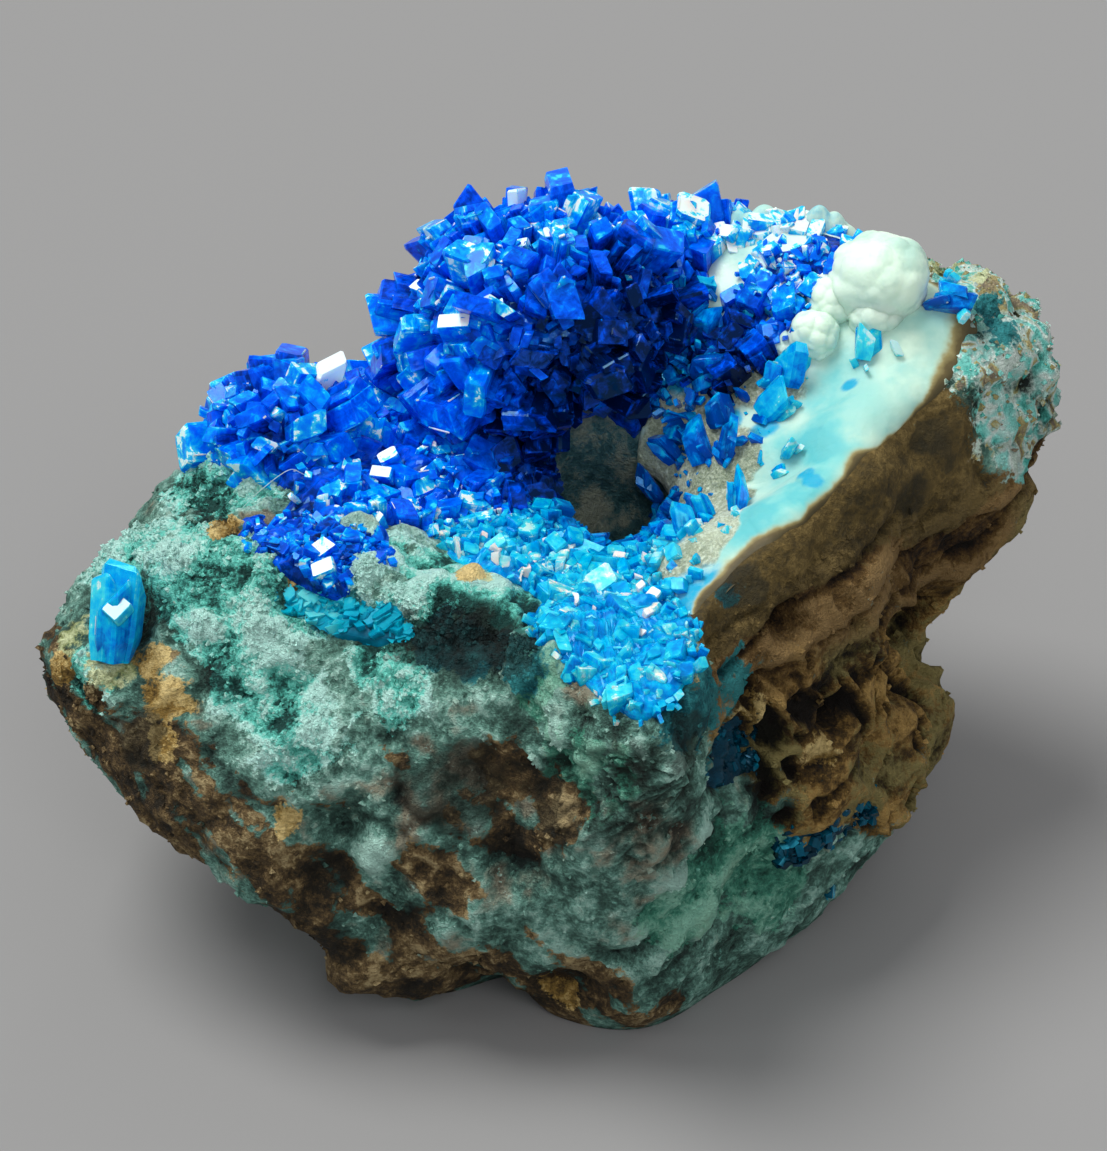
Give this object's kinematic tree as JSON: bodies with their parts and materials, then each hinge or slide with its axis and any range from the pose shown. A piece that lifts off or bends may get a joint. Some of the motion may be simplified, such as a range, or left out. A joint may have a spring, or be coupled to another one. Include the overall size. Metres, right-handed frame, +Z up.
{
  "type": "veszelyite specimen",
  "caption": "Mineral hand specimen: blue veszelyite crystal druses and a white hemimorphite lining in a vug on weathered rock matrix.",
  "frame": {"origin": "middle of the flat underside that the specimen rests on", "axes": "+X along the specimen's length towards its brown fracture side, +Z up out of the vug, +Y towards the high back rim"},
  "size_m": [0.0398, 0.0286, 0.0255],
  "materials": {
    "matrix_rock": "rough weathered rock, pale green and teal stains over brown iron oxide",
    "white_hemimorphite": "fine sugary white crust with a blue-green tint",
    "deep_blue_crystal": "clear deep blue crystal faces with sharp glints",
    "turquoise_crystal": "fine sparkling turquoise crystals",
    "clear_blue_crystal": "clear sky blue single crystals"
  },
  "bodies": {
    "root": {"matrix": "matrix_rock", "white_lining": "white_hemimorphite", "white_ball": "white_hemimorphite", "white_ball_small": "white_hemimorphite", "druse_dome": "deep_blue_crystal", "druse_rim": "deep_blue_crystal", "druse_saddle": "deep_blue_crystal", "druse_left": "deep_blue_crystal", "druse_back": "deep_blue_crystal", "druse_knob": "deep_blue_crystal", "pocket_druse": "deep_blue_crystal", "vein_druse": "deep_blue_crystal", "druse_floor": "turquoise_crystal", "pool_druse": "turquoise_crystal", "slope_crystal_01": "clear_blue_crystal", "slope_crystal_02": "clear_blue_crystal", "slope_crystal_03": "clear_blue_crystal", "slope_crystal_04": "clear_blue_crystal", "slope_crystal_05": "clear_blue_crystal", "slope_crystal_06": "clear_blue_crystal", "slope_crystal_07": "clear_blue_crystal", "slope_crystal_08": "clear_blue_crystal", "slope_crystal_09": "clear_blue_crystal", "slope_crystal_10": "clear_blue_crystal", "slope_crystal_11": "clear_blue_crystal", "slope_crystal_12": "clear_blue_crystal", "slope_crystal_13": "clear_blue_crystal", "slope_crystal_14": "clear_blue_crystal", "edge_crystal_back": "clear_blue_crystal", "pocket_crystal_left": "clear_blue_crystal", "pocket_crystal_right": "clear_blue_crystal"}
  },
  "joints": []
}
